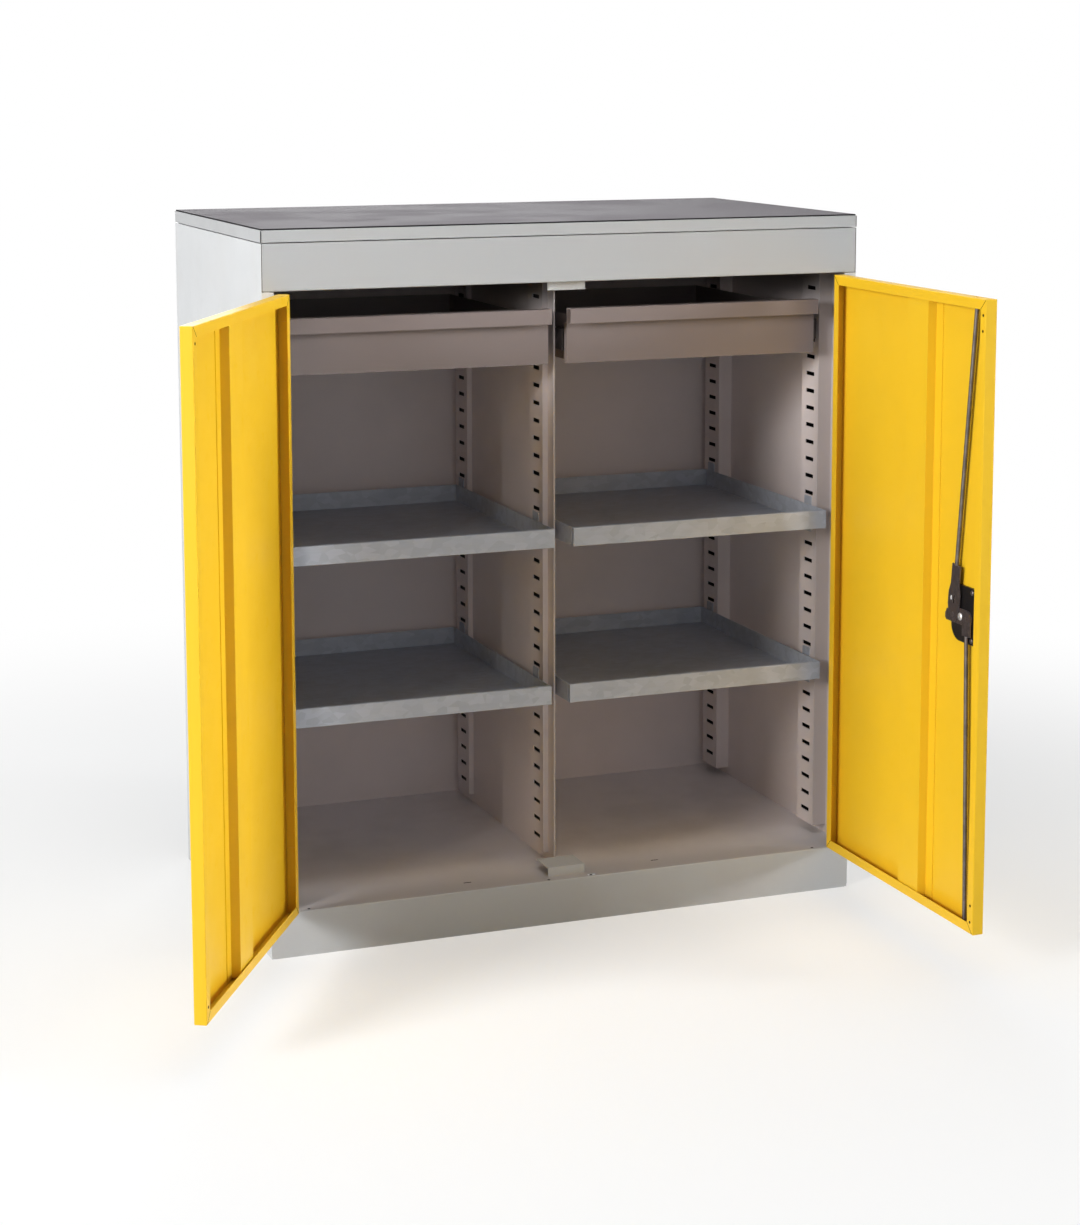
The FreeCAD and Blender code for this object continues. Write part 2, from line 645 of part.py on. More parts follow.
def slide(way, wall, outward, upright_face, front_place):
    """One slide: a fixed channel with folded feet on two uprights, and the runner nested in it."""
    fixed, moving = loose_body(), loose_body()

    def off(distance):
        """A place that far from the drawer box, away from it."""
        return f"{way} * ({wall} + {outward} * ({distance}))"

    low, high = about(RAIL_Z, "rail_half")
    rail_y = behind("rail_front", "rail_front + rail_length")
    lip = off("heavy_sheet + rail_side")
    web = off("rail_reach")
    channel = [(lip, low), (web, low), (web, high), (lip, high)]
    turn = 1 if way * outward > 0 else -1
    folded(fixed, "XZ_Plane", channel[::turn], "heavy_sheet", rail_y)
    seat = f"{way} * {upright_face}"
    for place in (front_place, "rear_upright"):
        front, rear = about(at(place), "foot_length / 2")
        bracket = [(web, front), (seat, front), (seat, rear), (web, rear)]
        folded(fixed, "XY_Plane", bracket[::turn], "heavy_sheet", (low, high))
    slim = about(RAIL_Z, "(rail_half - heavy_sheet - rail_play)")
    arm = off("rail_reach - heavy_sheet - rail_side")
    runner = [(arm, slim[1]), (off("0"), slim[1]), (off("0"), slim[0]), (arm, slim[0])]
    folded(moving, "XZ_Plane", runner[::turn], "heavy_sheet",
           behind("rail_front + rail_play", "rail_front + rail_play + runner_length"))
    return fixed, moving


for way, word in ((-1, "left"), (1, "right")):
    drawer(word, way)
    outer = slide(way, BOX_OUT, 1, SIDE_FACE, "side_upright")
    inner = slide(way, BOX_IN, -1, DIVIDER_FACE, "divider_upright")
    group(f"{word}_drawer_rails", [outer[0], inner[0]])
    group(f"{word}_drawer_runners", [outer[1], inner[1]])

# Doors. Each is drawn closed around its hinge axis and then swung open.
# Distances across a door run from the axis towards the free edge.
EDGE = "hinge_gap"
FREE = f"({HINGE_X} - centre_gap / 2)"
LIP = "(hinge_proud + door_depth)"
DOOR_LOW = "(plinth_height + door_gap)"
DOOR_TOP = f"({LINTEL} - door_gap)"
LOCK = f"({FREE} - lock_edge)"


def hang(thing, way):
    """Swings a piece of the left (-1) or right (1) door open about its hinge axis."""
    locate(thing, f"{way} * {HINGE_X}", HINGE_Y, "0")
    bind(thing, "Placement.Rotation.Angle", "right_open" if way > 0 else "-left_open")
    return thing


def across(way, low, high):
    return side(-way, low, high)


def door(word, way):
    """A pan with return lips, and a hat section that stiffens it."""
    pan = hang(body(f"{word}_door_pan"), way)
    add(pan, across(way, EDGE, FREE), (SKIN, LIP), (DOOR_LOW, DOOR_TOP))
    upright_edges = [(f"{-way} * {x}", y, "lock_height") for x in (EDGE, FREE) for y in (SKIN, LIP)]
    level_edges = [(f"{-way} * {LOCK}", y, z) for y in (SKIN, LIP) for z in (DOOR_LOW, DOOR_TOP)]
    fold(pan, upright_edges + level_edges)
    take(pan, across(way, f"{EDGE} + sheet", f"{FREE} - sheet"), (WITHIN, f"{LIP} - sheet"),
         (f"{DOOR_LOW} + sheet", f"{DOOR_TOP} - sheet"))
    take(pan, across(way, f"{EDGE} + door_lip", f"{FREE} - door_lip"), (f"{LIP} - sheet", LIP),
         (f"{DOOR_LOW} + door_lip", f"{DOOR_TOP} - door_lip"))
    if way > 0:
        take_round(pan, "spindle_bore", (SKIN, WITHIN), f"-{LOCK}", "lock_height")
        rod_at = f"({FREE} - rod_edge)"
        take(pan, across(way, f"{rod_at} - {rod_hole} - rod_sway", f"{rod_at} + {rod_hole}"),
             about(ROD, rod_hole), (f"{DOOR_TOP} - sheet", DOOR_TOP))
        take(pan, across(way, f"{rod_at} - {rod_hole}", f"{rod_at} + {rod_hole} + rod_sway"),
             about(ROD, rod_hole), (DOOR_LOW, f"{DOOR_LOW} + sheet"))
    hat = hang(body(f"{word}_door_stiffener"), way)
    centre = f"{-way} * ({FREE} - stiff_centre)"
    crest = f"({WITHIN} + stiff_depth)"
    rim = f"({WITHIN} + sheet)"
    half = [("stiff_crest", crest), ("stiff_foot", rim), ("stiff_half", rim), ("stiff_half", WITHIN),
            ("stiff_foot - sheet", WITHIN), ("stiff_crest - sheet", f"{crest} - sheet")]
    section = [(f"{centre} + {x}", y) for x, y in half]
    section += [(f"{centre} - ({x})", y) for x, y in half[::-1]]
    profile(hat, "XY_Plane", section, (f"{DOOR_LOW} + stiff_end", f"{DOOR_TOP} - stiff_end"))


def hinges(word, way):
    """Lift-off hinges: the lower half on the carcass has the pin, the upper half is on the door."""
    frames, leaves = [], []
    for level in (f"({DOOR_TOP} - hinge_end)", f"({DOOR_LOW} + hinge_end)"):
        low = (f"{level} - hinge_half", f"{level} - hinge_split / 2")
        high = (f"{level} + hinge_split / 2", f"{level} + hinge_half")
        frame = loose_body()
        locate(frame, f"{way} * {HINGE_X}", HINGE_Y, "0")
        add_post(frame, "hinge_radius", low)
        add(frame, side(way, "0", "hinge_leaf"), (f"{SKIN} - leaf_thick", SKIN), low)
        add_post(frame, "pin_radius", (low[0], f"{low[1]} + pin_reach"))
        frames.append(frame)
        leaf = loose_body()
        add_post(leaf, "hinge_radius", high)
        add(leaf, across(way, "0", "hinge_leaf"), (f"{SKIN} - leaf_thick", SKIN), high)
        take_post(leaf, "pin_radius + pin_play", high)
        leaves.append(leaf)
    group(f"{word}_hinge_frames", frames)
    hang(group(f"{word}_hinge_leaves", leaves), way)


for way, word in ((-1, "left"), (1, "right")):
    door(word, way)
    hinges(word, way)

# Lock on the right door: handle, spindle, cam plate and two rods
X = f"(-{LOCK})"
HEIGHT = "lock_height"
lock_z = (f"{HEIGHT} - housing_down", f"{HEIGHT} + housing_up")

housing = hang(body("lock_housing"), 1)
housing_x = (f"-({FREE} - housing_edge)", f"-({FREE} - housing_edge - housing_width)")
add(housing, housing_x, HOUSING, lock_z)
half_deep = f"{WITHIN} + housing_base / 2"
fold(housing, [(housing_x[1], half_deep, z) for z in lock_z], "housing_curve")
take_round(housing, "spindle_bore", HOUSING, X, HEIGHT)

plate = hang(body("handle_plate"), 1)
plate_y = (f"{SKIN} - plate_thick", SKIN)
add(plate, about(X, "plate_half_width"), plate_y, about(HEIGHT, "plate_half_height"))
corners = [(x, f"{SKIN} - plate_thick / 2", z)
           for x in about(X, "plate_half_width") for z in about(HEIGHT, "plate_half_height")]
fold(plate, corners, "plate_corner")
take_round(plate, "hub_radius + turn_play", plate_y, X, HEIGHT)

handle = hang(body("lock_handle"), 1)
hub_y = f"({SKIN} - hub_length)"
lever_top = f"({HEIGHT} + lever_over)"
lever_low = f"({lever_top} - lever_length)"
lever_face = f"({hub_y} - lever_thick)"
add_round(handle, "hub_radius", (hub_y, SKIN), X, HEIGHT)
lever = [
    ("lever_tip_end / 2", lever_low), ("lever_tip_width / 2", f"{lever_low} + lever_round"),
    ("lever_width / 2", f"{HEIGHT} - hub_radius"), ("lever_width / 2", f"{lever_top} - lever_round"),
    ("lever_top_end / 2", lever_top),
]
right = [(f"{X} + {half}", z) for half, z in lever]
left = [(f"{X} - {half}", z) for half, z in lever[::-1]]
profile(handle, "XZ_Plane", right + left, (lever_face, hub_y))

barrel = hang(body("key_barrel"), 1)
add_round(barrel, "key_radius", (f"{lever_face} - key_length", lever_face), X, HEIGHT)

spindle = hang(body("lock_spindle"), 1)
add(spindle, about(X, "spindle_side / 2"), (SKIN, CAM[1]), about(HEIGHT, "spindle_side / 2"))

cam = hang(body("cam_plate"), 1)
add(cam, about(X, "cam_throw"), CAM, about(HEIGHT, "cam_half"))
for x in about(X, "cam_throw"):
    add_round(cam, "cam_half", CAM, x, HEIGHT)
square = "(spindle_side / 2 + pin_play)"
take(cam, about(X, square), CAM, about(HEIGHT, square))

pins = []
for x in about(X, "cam_throw"):
    pin = loose_body()
    add_round(pin, "cam_pin_radius", (CAM[1], f"{LINK[1]} + cam_pin_proud"), x, HEIGHT)
    pins.append(pin)
hang(group("cam_pins", pins), 1)


# Links and rods are drawn upright around their cam pin, then lean across the door.
def leaning(label, thing, pin, angle):
    thing.Placement = FreeCAD.Placement(
        FreeCAD.Vector(), FreeCAD.Rotation(FreeCAD.Vector(0, 1, 0), 1)
    )
    locate(thing, pin, "0", HEIGHT)
    bind(thing, "Placement.Rotation.Angle", angle)
    hang(group(label, [thing]), 1)


def eye(flat):
    add_round(flat, "link_eye", LINK, "0", "0")
    take_round(flat, "cam_pin_radius + pin_play", LINK, "0", "0")


def upper_link(label, pin, angle):
    """A tongue with a flare and a slot."""
    flat = loose_body()
    right = [("link_eye", "0"), ("link_flare", "link_taper"), ("link_flare", "link_shoulder"),
             ("link_half", "link_shoulder + link_taper"), ("link_half", "upper_link_length")]
    left = [(f"-{x}", z) for x, z in right[::-1]]
    profile(flat, "XZ_Plane", right + left, LINK)
    take(flat, middle("link_slot / 2"), LINK, ("link_slot_low", "link_slot_high"))
    eye(flat)
    leaning(label, flat, pin, angle)


def lower_link(label, pin, angle):
    flat = loose_body()
    add(flat, middle("link_half"), LINK, ("-lower_link_length", "0"))
    eye(flat)
    leaning(label, flat, pin, angle)


def rod(label, pin, angle, span):
    bar = doc.addObject("Part::Cylinder", "Bar")
    round_up(bar, "rod_radius", f"{span[1]} - ({span[0]})", "0", ROD, span[0])
    straight = doc.addObject("Part::Compound", "Rod")
    straight.Links = [bar]
    leaning(label, straight, pin, angle)


rise = f"({DOOR_TOP} - rod_short - lock_height)"
fall = f"(lock_height - {DOOR_LOW} - rod_short)"
lean = "(lock_edge - rod_edge)"
upper_lean = f"atan(({lean} + cam_throw) / {rise})"
lower_lean = f"atan(({lean} - cam_throw) / {fall})"
upper_pin = f"({X} + cam_throw)"
lower_pin = f"({X} - cam_throw)"
upper_link("upper_link", upper_pin, f"-{upper_lean}")
rod("upper_rod", upper_pin, f"-{upper_lean}", ("upper_link_length", f"{rise} / cos({upper_lean})"))
lower_link("lower_link", lower_pin, lower_lean)
rod("lower_rod", lower_pin, lower_lean, (f"-{fall} / cos({lower_lean})", "-lower_link_length"))

# Every piece is checked and written to a file of its own
doc.recompute()
for thing in doc.Objects:
    bad = {"Invalid", "Error"} & set(thing.State)
    if bad:
        raise RuntimeError(f"{thing.Name} is {sorted(bad)}")
for piece in nodes:
    shape = piece.Shape
    if shape.isNull() or not shape.isValid() or not shape.Solids:
        raise RuntimeError(f"{piece.Label} has no valid shape")
    shape.exportStep(f"parts/{piece.Label}.step")
print(len(nodes), "pieces")
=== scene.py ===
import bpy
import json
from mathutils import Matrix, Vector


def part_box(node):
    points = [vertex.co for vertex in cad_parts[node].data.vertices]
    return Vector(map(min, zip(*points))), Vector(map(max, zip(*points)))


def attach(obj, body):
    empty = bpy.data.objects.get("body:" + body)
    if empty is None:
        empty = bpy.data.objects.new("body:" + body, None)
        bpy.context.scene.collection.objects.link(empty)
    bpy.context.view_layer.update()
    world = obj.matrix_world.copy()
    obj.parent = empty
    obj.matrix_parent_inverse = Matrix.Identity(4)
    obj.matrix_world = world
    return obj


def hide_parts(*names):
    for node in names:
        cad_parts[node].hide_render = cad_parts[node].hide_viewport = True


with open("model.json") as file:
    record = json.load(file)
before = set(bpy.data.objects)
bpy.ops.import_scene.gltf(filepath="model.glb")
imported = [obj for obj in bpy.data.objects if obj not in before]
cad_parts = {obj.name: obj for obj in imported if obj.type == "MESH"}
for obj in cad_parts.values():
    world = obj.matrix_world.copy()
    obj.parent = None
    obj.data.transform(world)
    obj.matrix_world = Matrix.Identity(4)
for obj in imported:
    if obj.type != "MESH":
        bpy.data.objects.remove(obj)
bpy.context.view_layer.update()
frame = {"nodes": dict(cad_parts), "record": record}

import json
import math

import bmesh
import bpy
from mathutils import Matrix, Vector

MM = 0.001
SIDES = ("left", "right")
scene = bpy.context.scene
nodes = frame["nodes"]


def mm(*sizes):
    """Sizes in millimetres, as metres."""
    return [size * MM for size in sizes]


def mm_points(*points):
    """Points in millimetres, as metres."""
    return [tuple(mm(*point)) for point in points]


def shade(colour, factor):
    return tuple(channel * factor for channel in colour)


# Materials. All are placed in the frame's own coordinates.

# The space inside the carcass, whose faces get the inner colour: painted light and shade
ROOM = ((-0.4496, -0.2485, 0.0645), (0.4496, 0.2486, 0.9993))
# Near black: painted shade in the hollows behind the uprights' slots
HOLLOW_SHADE = (0.012, 0.011, 0.011)
MASK_EDGE = 0.3 * MM
ORANGE_PEEL, SHEET_WAVE = 0.000045, 0.00035


class Look:
    """A procedural material, with short ways to add its nodes."""

    def __init__(self, name, metal=0.0, gloss=0.5):
        self.material = bpy.data.materials.new(name)
        self.material.use_nodes = True
        self.tree = self.material.node_tree
        self.surface = self.tree.nodes["Principled BSDF"]
        self.surface.inputs["Metallic"].default_value = metal
        self.surface.inputs["Specular IOR Level"].default_value = gloss
        self.place = self.tree.nodes.new("ShaderNodeTexCoord").outputs["Object"]

    def node(self, kind, inputs, **settings):
        made = self.tree.nodes.new("ShaderNode" + kind)
        for name, value in settings.items():
            setattr(made, name, value)
        for name, value in inputs.items():
            if isinstance(value, bpy.types.NodeSocket):
                self.tree.links.new(value, made.inputs[name])
            else:
                made.inputs[name].default_value = value
        return made

    def noise(self, scale, stretch=(1, 1, 1), detail=3.0):
        placed = self.node("Mapping", {"Vector": self.place, "Scale": stretch}).outputs[0]
        return self.node("TexNoise", {"Vector": placed, "Scale": scale, "Detail": detail}).outputs["Fac"]

    def between(self, value, low, high, out_low=0.0, out_high=1.0):
        """A soft step from out_low to out_high while the value goes from low to high."""
        return self.node("MapRange", {
            "Value": value, "From Min": low, "From Max": high, "To Min": out_low, "To Max": out_high,
        }, interpolation_type="SMOOTHSTEP").outputs[0]

    def times(self, a, b):
        return self.node("Math", {0: a, 1: b}, operation="MULTIPLY").outputs[0]

    def plus(self, a, b):
        return self.node("Math", {0: a, 1: b}, operation="ADD").outputs[0]

    def mix(self, share, a, b):
        """Colour a where the share is 0, colour b where it is 1."""
        made = self.node("Mix", {0: share}, data_type="RGBA")
        for socket, value in ((made.inputs[6], a), (made.inputs[7], b)):
            if isinstance(value, bpy.types.NodeSocket):
                self.tree.links.new(value, socket)
            else:
                socket.default_value = (*value, 1)
        return made.outputs[2]

    def edge(self, radius):
        """1 along the sharp edges, 0 on flats: how far a rounded normal turns from the true one."""
        rounded = self.node("Bevel", {"Radius": radius}, samples=4).outputs[0]
        true = self.tree.nodes.new("ShaderNodeNewGeometry").outputs["Normal"]
        turned_by = self.node("VectorMath", {0: rounded, 1: true}, operation="DOT_PRODUCT").outputs["Value"]
        return self.between(turned_by, 0.995, 0.80)

    def pocket(self, reach):
        """1 deep in folds and corners, 0 in the open."""
        open_share = self.node("AmbientOcclusion", {"Distance": reach}, samples=6).outputs["AO"]
        return self.between(open_share, 0.62, 0.12)

    def along(self, axis):
        return self.node("SeparateXYZ", {"Vector": self.place}).outputs[axis]

    def inside(self, low, high):
        """1 within a box, 0 outside it."""
        share = 1.0
        for axis in range(3):
            value = self.along(axis)
            share = self.times(share, self.between(value, low[axis], low[axis] + MASK_EDGE))
            share = self.times(share, self.between(value, high[axis], high[axis] - MASK_EDGE))
        return share

    def finish(self, colour, rough, *bumps):
        """Bumps are pairs of a value and the height in metres it stands for."""
        self.tree.links.new(colour, self.surface.inputs["Base Color"])
        self.tree.links.new(rough, self.surface.inputs["Roughness"])
        normal = None
        for value, tall in bumps:
            links = {"Height": value, "Strength": 1.0, "Distance": tall}
            if normal is not None:
                links["Normal"] = normal
            normal = self.node("Bump", links).outputs[0]
        self.tree.links.new(normal, self.surface.inputs["Normal"])
        return self.material


def inner_light_and_shade(look, colour, front):
    """Painted light and shade inside the carcass: a warm, lighter tint for the light there, darker towards the
    opening and above the drawers as painted shade.
    """
    # front and top: the shares of the colour kept at the opening and above the drawers, as painted shade
    top = min(front, 0.3)
    tone = look.mix(look.noise(2.6), shade(colour, 0.94), shade(colour, 1.05))
    tone = look.mix(look.between(look.along("Y"), -0.125, -0.245), tone, shade(colour, front))
    return look.mix(look.between(look.along("Z"), 0.865, 0.925), tone, shade(colour, top))


def paint(name, colour, worn, dust, inner=None, front=1.0, hollows=(), fold_shade_and_grime=None, gloss=0.5):
    """Powder coat on sheet steel: orange peel, slow tone changes, rubbed edges, a little dust low down.

    The carcass can have a warm, lighter second colour on its inner faces as painted light, with painted shade
    towards the opening and under the top, and painted shade, near black, in the hollows behind its slots.
    The doors can have painted shade in their folds, a deeper tone with some dirt.
    """
    look = Look(name, gloss=gloss)
    tone = look.mix(look.noise(2.6), shade(colour, 0.955), shade(colour, 1.03))
    if inner:
        # Inner faces: a warm, lighter tint as painted light, with painted shade towards the opening and under the
        # top
        tone = look.mix(look.inside(*ROOM), tone, inner_light_and_shade(look, inner, front))
    cloud = look.between(look.noise(9.0, detail=5.0), 0.42, 0.72)
    tone = look.mix(look.times(cloud, 0.10), tone, dust)
    rub = look.between(look.noise(38.0, (1, 1, 0.35), 4.0), 0.40, 0.66)
    tone = look.mix(look.times(look.times(look.edge(1.2 * MM), rub), 0.55), tone, worn)
    near_floor = look.between(look.along("Z"), 0.09, 0.0)
    tone = look.mix(look.times(look.times(near_floor, cloud), 0.35), tone, dust)
    # Painted shade, near black, in the hollows behind the slots
    for low, high in hollows:
        tone = look.mix(look.inside(low, high), tone, HOLLOW_SHADE)
    # Painted shade in the folds and corners, where lips and stiffeners hide the light, with some dirt
    if fold_shade_and_grime:
        tone = look.mix(look.times(look.pocket(22 * MM), 0.55), tone, fold_shade_and_grime)
    scuff = look.between(look.noise(60.0, (0.05, 1, 1), 2.0), 0.60, 0.74)
    rough = look.plus(look.between(look.noise(14.0), 0.3, 0.7, 0.36, 0.46), look.times(scuff, 0.07))
    peel = look.noise(620.0, detail=2.0)
    wave = look.noise(11.0, detail=1.0)
    return look.finish(tone, rough, (wave, SHEET_WAVE), (peel, ORANGE_PEEL))


def zinc(name, colour):
    """Galvanised sheet: soft spangle, rolling streaks, and a painted highlight along its edges."""
    look = Look(name, metal=0.2)
    placed = look.node("Mapping", {"Vector": look.place, "Scale": (0.6, 1, 1)}).outputs[0]
    spangle = look.node("TexVoronoi", {"Vector": placed, "Scale": 110.0}).outputs["Color"]
    grain = look.node("SeparateColor", {"Color": spangle}).outputs[0]
    tone = look.mix(grain, shade(colour, 0.88), shade(colour, 1.10))
    streak = look.noise(300.0, (0.02, 1, 1), 2.0)
    tone = look.mix(look.times(streak, 0.35), tone, shade(colour, 0.78))
    # Painted highlight along the edges
    tone = look.mix(look.times(look.edge(0.8 * MM), 0.5), tone, shade(colour, 1.35))
    stain = look.between(look.noise(16.0, detail=5.0), 0.48, 0.75)
    tone = look.mix(look.times(stain, 0.18), tone, shade(colour, 0.78))
    rough = look.plus(look.between(grain, 0.0, 1.0, 0.44, 0.54), look.times(stain, 0.06))
    return look.finish(tone, rough, (streak, 0.02 * MM))


def steel(name, colour):
    """Dull zinc-plated or plain steel: drawn lines, dark patches, bright edges that are partly rubbed wear and
    partly a painted highlight.
    """
    look = Look(name, metal=0.8)
    patch = look.between(look.noise(55.0, detail=5.0), 0.38, 0.66)
    tone = look.mix(patch, shade(colour, 1.1), shade(colour, 0.68))
    # Bright edges: partly rubbed wear, partly a painted highlight
    tone = look.mix(look.times(look.edge(0.9 * MM), 0.8), tone, shade(colour, 2.8))
    drawn = look.noise(700.0, (1, 1, 0.03), 2.0)
    rough = look.plus(look.between(patch, 0.0, 1.0, 0.34, 0.5), look.times(drawn, 0.1))
    return look.finish(tone, rough, (drawn, 0.02 * MM))


def rubber(name, colour):
    """Rubber with a fine grain and a greyish bloom."""
    look = Look(name, gloss=0.2)
    bloom = look.between(look.noise(7.0, detail=5.0), 0.35, 0.7)
    tone = look.mix(bloom, shade(colour, 0.9), shade(colour, 1.18))
    grain = look.noise(900.0, detail=3.0)
    tone = look.mix(look.times(grain, 0.25), tone, shade(colour, 0.6))
    rough = look.between(bloom, 0.0, 1.0, 0.62, 0.78)
    return look.finish(tone, rough, (grain, 0.06 * MM))


def plastic(name, colour, gloss=0.3):
    """Moulded plastic with a fine spark-eroded texture, polished where it is handled."""
    look = Look(name, gloss=gloss)
    patch = look.between(look.noise(26.0, detail=4.0), 0.4, 0.7)
    tone = look.mix(patch, shade(colour, 0.85), shade(colour, 1.25))
    tone = look.mix(look.times(look.edge(0.8 * MM), 0.5), tone, shade(colour, 2.2))
    grain = look.noise(1500.0, detail=2.0)
    rough = look.plus(look.between(patch, 0.0, 1.0, 0.36, 0.5), look.times(grain, 0.06))
    return look.finish(tone, rough, (grain, 0.05 * MM))


def hollow(node):
    """The space behind the slotted face of an upright, up to the side panel or the divider."""
    low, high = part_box(node)
    sheet, panel_face, divider_face = mm(1.55, 449.4, 0.9)
    on_side_panel = abs(low.x) > 0.1
    if on_side_panel:
        sides = (-panel_face, high.x - sheet) if low.x < 0 else (low.x + sheet, panel_face)
    else:
        sides = (low.x + sheet, divider_face) if low.x < 0 else (-divider_face, high.x - sheet)
    return (sides[0], low.y, low.z), (sides[1], high.y, high.z)


HOLLOWS = [
    hollow(f"{side}_{place}_{row}_upright")
    for side in SIDES for place in ("side", "divider") for row in ("front", "rear")
]
PALE, RUBBED, DUST = (0.56, 0.573, 0.585), (0.68, 0.69, 0.69), (0.42, 0.39, 0.36)
# The carcass grey: painted light and shade on its inner faces, and painted shade in the hollows behind the slots
GREY = paint("grey_paint", PALE, RUBBED, DUST, inner=(0.78, 0.695, 0.685), front=0.28, hollows=HOLLOWS)
BRACKET = paint("bracket_paint", PALE, RUBBED, DUST)
# A darker copy of the pale grey for the fascia and the lid: painted shade on the front
FRONT_SHADED = paint("front_shaded_grey", shade(PALE, 0.72), shade(RUBBED, 0.85), shade(DUST, 0.9))
# The floor pan: a darker copy of the pale grey outside the carcass as painted shade, a lighter warm tint inside as
# painted light, with painted shade at the opening
FLOOR_LIT_AND_SHADED = paint("floor_pan_lit_and_shaded", shade(PALE, 0.86), shade(RUBBED, 0.9), DUST, inner=(0.92, 0.87, 0.88), front=0.5)
DRAWER = paint("drawer_paint", (0.217, 0.178, 0.174), (0.42, 0.38, 0.36), (0.23, 0.20, 0.19))
# The doors' yellow, with painted shade in its folds
YELLOW = paint(
    "yellow_paint", (0.79, 0.485, 0.018), (0.92, 0.64, 0.05), (0.60, 0.39, 0.035),
    fold_shade_and_grime=(0.42, 0.195, 0.010), gloss=0.25,
)
ZINC = zinc("zinc", (0.445, 0.475, 0.54))
RUBBER = rubber("rubber", (0.155, 0.143, 0.155))
BLACK = plastic("black_plastic", (0.009, 0.008, 0.009))
STEEL = steel("steel", (0.17, 0.152, 0.146))
DARK = steel("dark_steel", (0.13, 0.108, 0.108))
# Near-black rubber: painted shade along the mat's edge
MAT_EDGE_SHADE_LOOK = rubber("mat_edge_shade_rubber", (0.010, 0.008, 0.010))
BRIGHT = steel("bright_steel", (0.62, 0.61, 0.60))
# Near black: painted shade in holes and slots, and the dark of seams
VOID = plastic("open_hole", (0.006, 0.005, 0.005), gloss=0.0)

# The look of each material slot of the record, and of the nodes that differ from their slot
LOOKS = {
    "grey_paint": GREY, "yellow_paint": YELLOW, "zinc": ZINC,
    "rubber": RUBBER, "black_plastic": BLACK, "steel": STEEL,
}
SPECIAL = {
    **{f"{side}_drawer_{kind}": DRAWER for side in SIDES for kind in ("box", "front")},
    "upper_stop_bracket": BRACKET, "lower_stop_bracket": BRACKET,
    "floor_pan": FLOOR_LIT_AND_SHADED, "fascia": FRONT_SHADED, "worktop_lid": FRONT_SHADED,
    "cam_plate": DARK, "cam_pins": DARK, "upper_link": DARK, "lower_link": DARK,
}
for part in frame["record"]["subparts"]:
    mesh = nodes[part["node"]].data
    mesh.materials.clear()
    mesh.materials.append(SPECIAL.get(part["node"], LOOKS[part["material_slot"]]))


# Forms: closed meshes that the pieces are made of


def as_object(name, form, look):
    mesh = bpy.data.meshes.new(name)
    form.to_mesh(mesh)
    form.free()
    mesh.materials.append(look)
    made = bpy.data.objects.new(name, mesh)
    scene.collection.objects.link(made)
    return made


def piece(name, form, look, body):
    """Turns a form into a piece that rides on a body."""
    bmesh.ops.recalc_face_normals(form, faces=form.faces)
    made = as_object(name, form, look)
    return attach(made, body)


def smooth(made, angle=35):
    """Smooth shading, with edges sharper than an angle in degrees kept."""
    made.data.shade_smooth()
    made.data.set_sharp_from_angle(angle=math.radians(angle))
    return made


def bridge(form, near, far):
    """A band of faces between two rings with the same number of points."""
    for index in range(len(near)):
        after = (index + 1) % len(near)
        form.faces.new((near[index], near[after], far[after], far[index]))


def lofted(rings):
    """A closed form through rings of points, with a flat face at each end."""
    form = bmesh.new()
    made = [[form.verts.new(point) for point in ring] for ring in rings]
    for near, far in zip(made, made[1:]):
        bridge(form, near, far)
    form.faces.new(made[0])
    form.faces.new(made[-1])
    return form


def plate(outline, thick):
    """A flat plate: outline in x and y, thickness up from 0."""
    return lofted([[(x, y, z) for x, y in outline] for z in (0, thick)])


def frame_strip(low, high, wide, bottom, top):
    """A flat strip around a rectangle, as a closed ring."""
    form = bmesh.new()
    rings = []
    for inset in (0, wide):
        x0, x1, y0, y1 = low.x + inset, high.x - inset, low.y + inset, high.y - inset
        for z in (bottom, top):
            rings.append([form.verts.new((x, y, z)) for x, y in ((x0, y0), (x1, y0), (x1, y1), (x0, y1))])
    outer_bottom, outer_top, inner_bottom, inner_top = rings
    bridge(form, outer_bottom, outer_top)
    bridge(form, outer_top, inner_top)
    bridge(form, inner_top, inner_bottom)
    bridge(form, inner_bottom, outer_bottom)
    return form


def turned(outline, steps=24):
    """A turned form: outline is pairs of radius and height, and a radius of 0 closes it on the axis."""
    form = bmesh.new()
    turns = [2 * math.pi * step / steps for step in range(steps)]
    rings = []
    for radius, height in outline:
        around = turns if radius else turns[:1]
        rings.append([form.verts.new((radius * math.cos(t), radius * math.sin(t), height)) for t in around])
    for near, far in zip(rings, rings[1:]):
        for step in range(steps):
            after = (step + 1) % steps
            corners = [near[step % len(near)], near[after % len(near)], far[after % len(far)], far[step % len(far)]]
            form.faces.new(list(dict.fromkeys(corners)))
    return form


def screw(radius, tall, recess):
    """A domed screw head with a cross recess, cut as a four-pointed star that narrows as it goes down."""
    arms, waist, taper, depth = 4, 0.34, 0.7, 0.55
    form = turned([
        (0, 0), (radius, 0), (radius, tall * 0.35), (radius * 0.86, tall * 0.75), (radius * 0.6, tall),
    ])
    top = max(vert.co.z for vert in form.verts)
    rim = [vert for vert in form.verts if vert.co.z > top - 1e-7]
    rim.sort(key=lambda vert: math.atan2(vert.co.y, vert.co.x))
    star, deep = [], []
    for index, vert in enumerate(rim):
        turn = math.atan2(vert.co.y, vert.co.x)
        arm = recess * (1.0 if index % (len(rim) // arms) == 0 else waist)
        x, y = arm * math.cos(turn), arm * math.sin(turn)
        star.append(form.verts.new((x, y, top)))
        deep.append(form.verts.new((x * taper, y * taper, top - tall * depth)))
    bridge(form, rim, star)
    bridge(form, star, deep)
    form.faces.new(deep)
    return form


def punched(radius, deep, proud):
    """Painted shade: a dark disc for the shade inside a round hole."""
    return turned([(0, -deep), (radius, -deep), (radius, proud), (0, proud)], 16)


